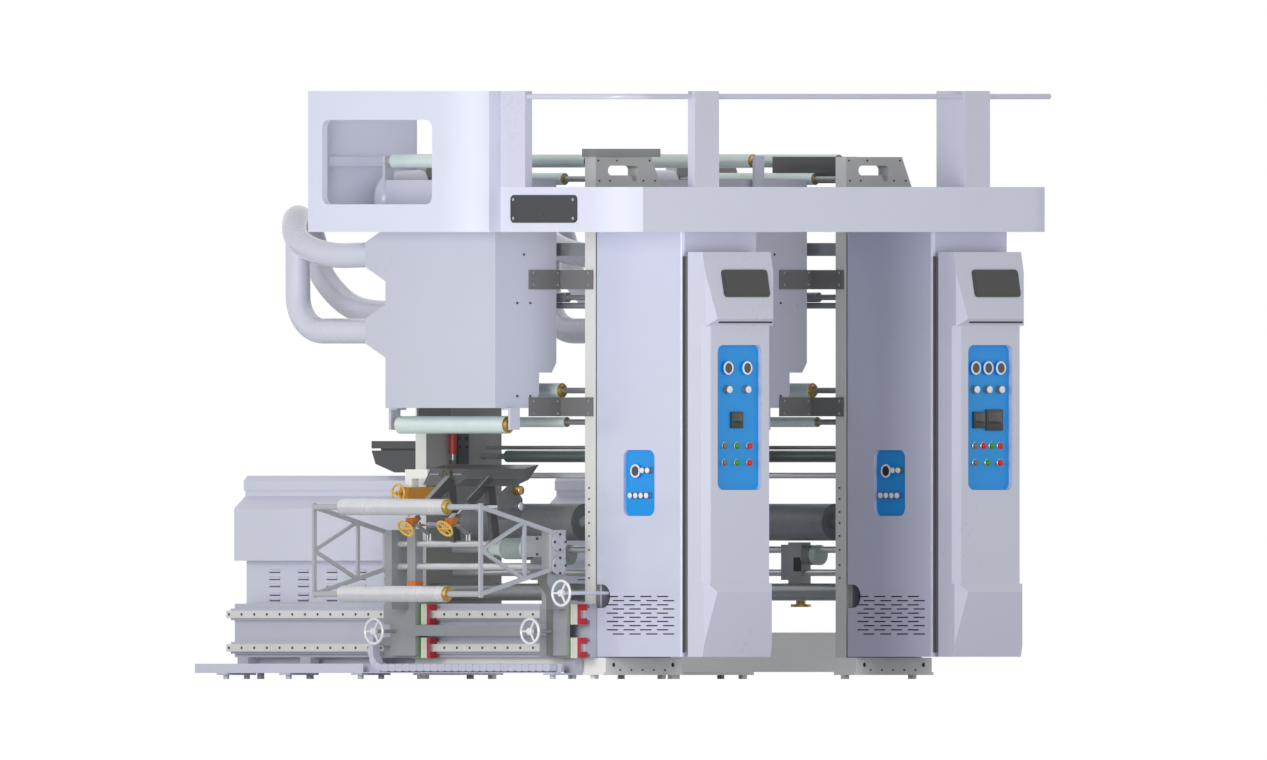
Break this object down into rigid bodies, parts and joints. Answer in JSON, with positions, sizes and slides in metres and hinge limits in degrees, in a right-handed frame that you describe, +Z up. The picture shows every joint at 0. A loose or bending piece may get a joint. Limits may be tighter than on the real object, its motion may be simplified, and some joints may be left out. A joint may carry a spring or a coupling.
{
  "type": "two-unit web printing press",
  "caption": "Web-fed printing press: printing units with dryers, operator consoles, overhead canopy and a side-sliding inking carriage on a rail beam.",
  "frame": {"origin": "on the floor under the middle of the press's box", "axes": "+X along the web's run from the first unit to the second, -Y towards the operator's side, +Z up"},
  "size_m": [3.958, 4.127, 3.528],
  "materials": {
    "frame_paint": "painted light grey",
    "housing_paint": "glossy pale lavender",
    "panel_blue": "glossy blue",
    "roller_steel": "ground steel",
    "dark_roller": "dark rubber",
    "carriage_grey": "satin grey",
    "rail_white": "ground",
    "bar_steel": "bright",
    "bracket_grey": "dark grey",
    "wheel_white": "white",
    "wheel_yellow": "yellow",
    "chain_plastic": "pale",
    "blade_dark": "dark grey",
    "duct_metal": "satin"
  },
  "bodies": {
    "press": {"unit_1_base": "frame_paint", "unit_2_base": "frame_paint", "unit_1_operator_frame": "frame_paint", "unit_2_operator_frame": "frame_paint", "unit_1_drive_frame": "frame_paint", "unit_2_drive_frame": "frame_paint", "unit_1_operator_cabinet": "housing_paint", "unit_2_operator_cabinet": "housing_paint", "unit_1_console": "housing_paint", "unit_2_console": "housing_paint", "unit_1_dryer": "housing_paint", "unit_2_dryer": "housing_paint", "unit_1_drive_cabinet": "housing_paint", "unit_2_drive_cabinet": "housing_paint", "rail_beam": "housing_paint", "canopy": "housing_paint", "window_box": "housing_paint", "guard_rail": "housing_paint", "cable_tray": "housing_paint", "unit_1_controls": "panel_blue", "unit_2_controls": "panel_blue", "unit_1_lift_gear": "carriage_grey", "unit_2_lift_gear": "carriage_grey", "linear_rails": "rail_white", "unit_1_cross_members": "bar_steel", "unit_2_cross_members": "bar_steel", "dryer_brackets": "bracket_grey", "unit_1_gear_case": "blade_dark", "unit_2_gear_case": "blade_dark", "unit_1_ducts": "duct_metal", "unit_2_ducts": "duct_metal"},
    "carriage": {"carriage": "carriage_grey", "carriage_arms": "carriage_grey", "doctor_blade": "blade_dark", "blade_screws": "wheel_yellow", "end_gearbox": "wheel_yellow", "energy_chain": "chain_plastic"},
    "upper_web_roller": {"upper_web_roller": "roller_steel"},
    "lower_web_roller": {"lower_web_roller": "roller_steel"},
    "near_lock_wheel": {"near_lock_wheel": "wheel_white"},
    "far_lock_wheel": {"far_lock_wheel": "wheel_white"},
    "end_wheel": {"end_wheel": "wheel_yellow"},
    "port_wheel": {"port_wheel": "wheel_white"},
    "near_blade_wheel": {"near_blade_wheel": "wheel_yellow"},
    "far_blade_wheel": {"far_blade_wheel": "wheel_yellow"},
    "unit_1_dryer_roller": {"unit_1_dryer_roller": "roller_steel"},
    "unit_1_top_roller": {"unit_1_top_roller": "roller_steel"},
    "unit_1_infeed_roller": {"unit_1_infeed_roller": "roller_steel"},
    "unit_1_transfer_roller": {"unit_1_transfer_roller": "roller_steel"},
    "unit_1_impression_cylinder": {"unit_1_impression_cylinder": "dark_roller"},
    "unit_2_dryer_roller": {"unit_2_dryer_roller": "roller_steel"},
    "unit_2_top_roller": {"unit_2_top_roller": "roller_steel"},
    "unit_2_infeed_roller": {"unit_2_infeed_roller": "roller_steel"},
    "unit_2_transfer_roller": {"unit_2_transfer_roller": "roller_steel"},
    "unit_2_impression_cylinder": {"unit_2_impression_cylinder": "dark_roller"}
  },
  "joints": [
    {"name": "carriage_slide", "type": "slide", "parent": "press", "child": "carriage", "axis": [0, 1, 0], "range_m": [0, 1.3]},
    {"name": "upper_web_roller_turn", "type": "hinge", "parent": "carriage", "child": "upper_web_roller", "pos_m": [-1.93, -0.292, 1.032], "axis": [0, 1, 0], "continuous": true},
    {"name": "lower_web_roller_turn", "type": "hinge", "parent": "carriage", "child": "lower_web_roller", "pos_m": [-1.93, -0.292, 0.51], "axis": [0, 1, 0], "continuous": true},
    {"name": "near_lock_wheel_turn", "type": "hinge", "parent": "carriage", "child": "near_lock_wheel", "pos_m": [-1.376, -0.8865, 0.286], "axis": [1, 0, 0], "continuous": true},
    {"name": "far_lock_wheel_turn", "type": "hinge", "parent": "carriage", "child": "far_lock_wheel", "pos_m": [-1.376, 0.4375, 0.286], "axis": [1, 0, 0], "continuous": true},
    {"name": "end_wheel_turn", "type": "hinge", "parent": "carriage", "child": "end_wheel", "pos_m": [-1.363, 0.2455, 1.114], "axis": [1, 0, 0], "continuous": true},
    {"name": "port_wheel_turn", "type": "hinge", "parent": "press", "child": "port_wheel", "pos_m": [-1.406, -1.1815, 0.515], "axis": [1, 0, 0], "continuous": true},
    {"name": "near_blade_wheel_turn", "type": "hinge", "parent": "carriage", "child": "near_blade_wheel", "pos_m": [-1.69409, -0.4825, 0.90274], "axis": [-0.7888, 0, -0.6146], "continuous": true},
    {"name": "far_blade_wheel_turn", "type": "hinge", "parent": "carriage", "child": "far_blade_wheel", "pos_m": [-1.69409, -0.1505, 0.90274], "axis": [-0.7888, 0, -0.6146], "continuous": true},
    {"name": "unit_1_dryer_roller_turn", "type": "hinge", "parent": "press", "child": "unit_1_dryer_roller", "pos_m": [-1.448, -0.3165, 1.525], "axis": [0, 1, 0], "continuous": true},
    {"name": "unit_1_top_roller_turn", "type": "hinge", "parent": "press", "child": "unit_1_top_roller", "pos_m": [-1.5, -0.3165, 3.108], "axis": [0, 1, 0], "continuous": true},
    {"name": "unit_1_infeed_roller_turn", "type": "hinge", "parent": "press", "child": "unit_1_infeed_roller", "pos_m": [-0.993, -0.3165, 1.731], "axis": [0, 1, 0], "continuous": true},
    {"name": "unit_1_transfer_roller_turn", "type": "hinge", "parent": "press", "child": "unit_1_transfer_roller", "pos_m": [-0.533, -0.3165, 1.336], "axis": [0, 1, 0], "continuous": true},
    {"name": "unit_1_impression_cylinder_turn", "type": "hinge", "parent": "press", "child": "unit_1_impression_cylinder", "pos_m": [-0.818, -0.3165, 0.941], "axis": [0, 1, 0], "continuous": true},
    {"name": "unit_2_dryer_roller_turn", "type": "hinge", "parent": "press", "child": "unit_2_dryer_roller", "pos_m": [0.678, -0.3165, 1.525], "axis": [0, 1, 0], "continuous": true},
    {"name": "unit_2_top_roller_turn", "type": "hinge", "parent": "press", "child": "unit_2_top_roller", "pos_m": [0.626, -0.3165, 3.108], "axis": [0, 1, 0], "continuous": true},
    {"name": "unit_2_infeed_roller_turn", "type": "hinge", "parent": "press", "child": "unit_2_infeed_roller", "pos_m": [1.133, -0.3165, 1.731], "axis": [0, 1, 0], "continuous": true},
    {"name": "unit_2_transfer_roller_turn", "type": "hinge", "parent": "press", "child": "unit_2_transfer_roller", "pos_m": [1.593, -0.3165, 1.336], "axis": [0, 1, 0], "continuous": true},
    {"name": "unit_2_impression_cylinder_turn", "type": "hinge", "parent": "press", "child": "unit_2_impression_cylinder", "pos_m": [1.308, -0.3165, 0.941], "axis": [0, 1, 0], "continuous": true}
  ]
}
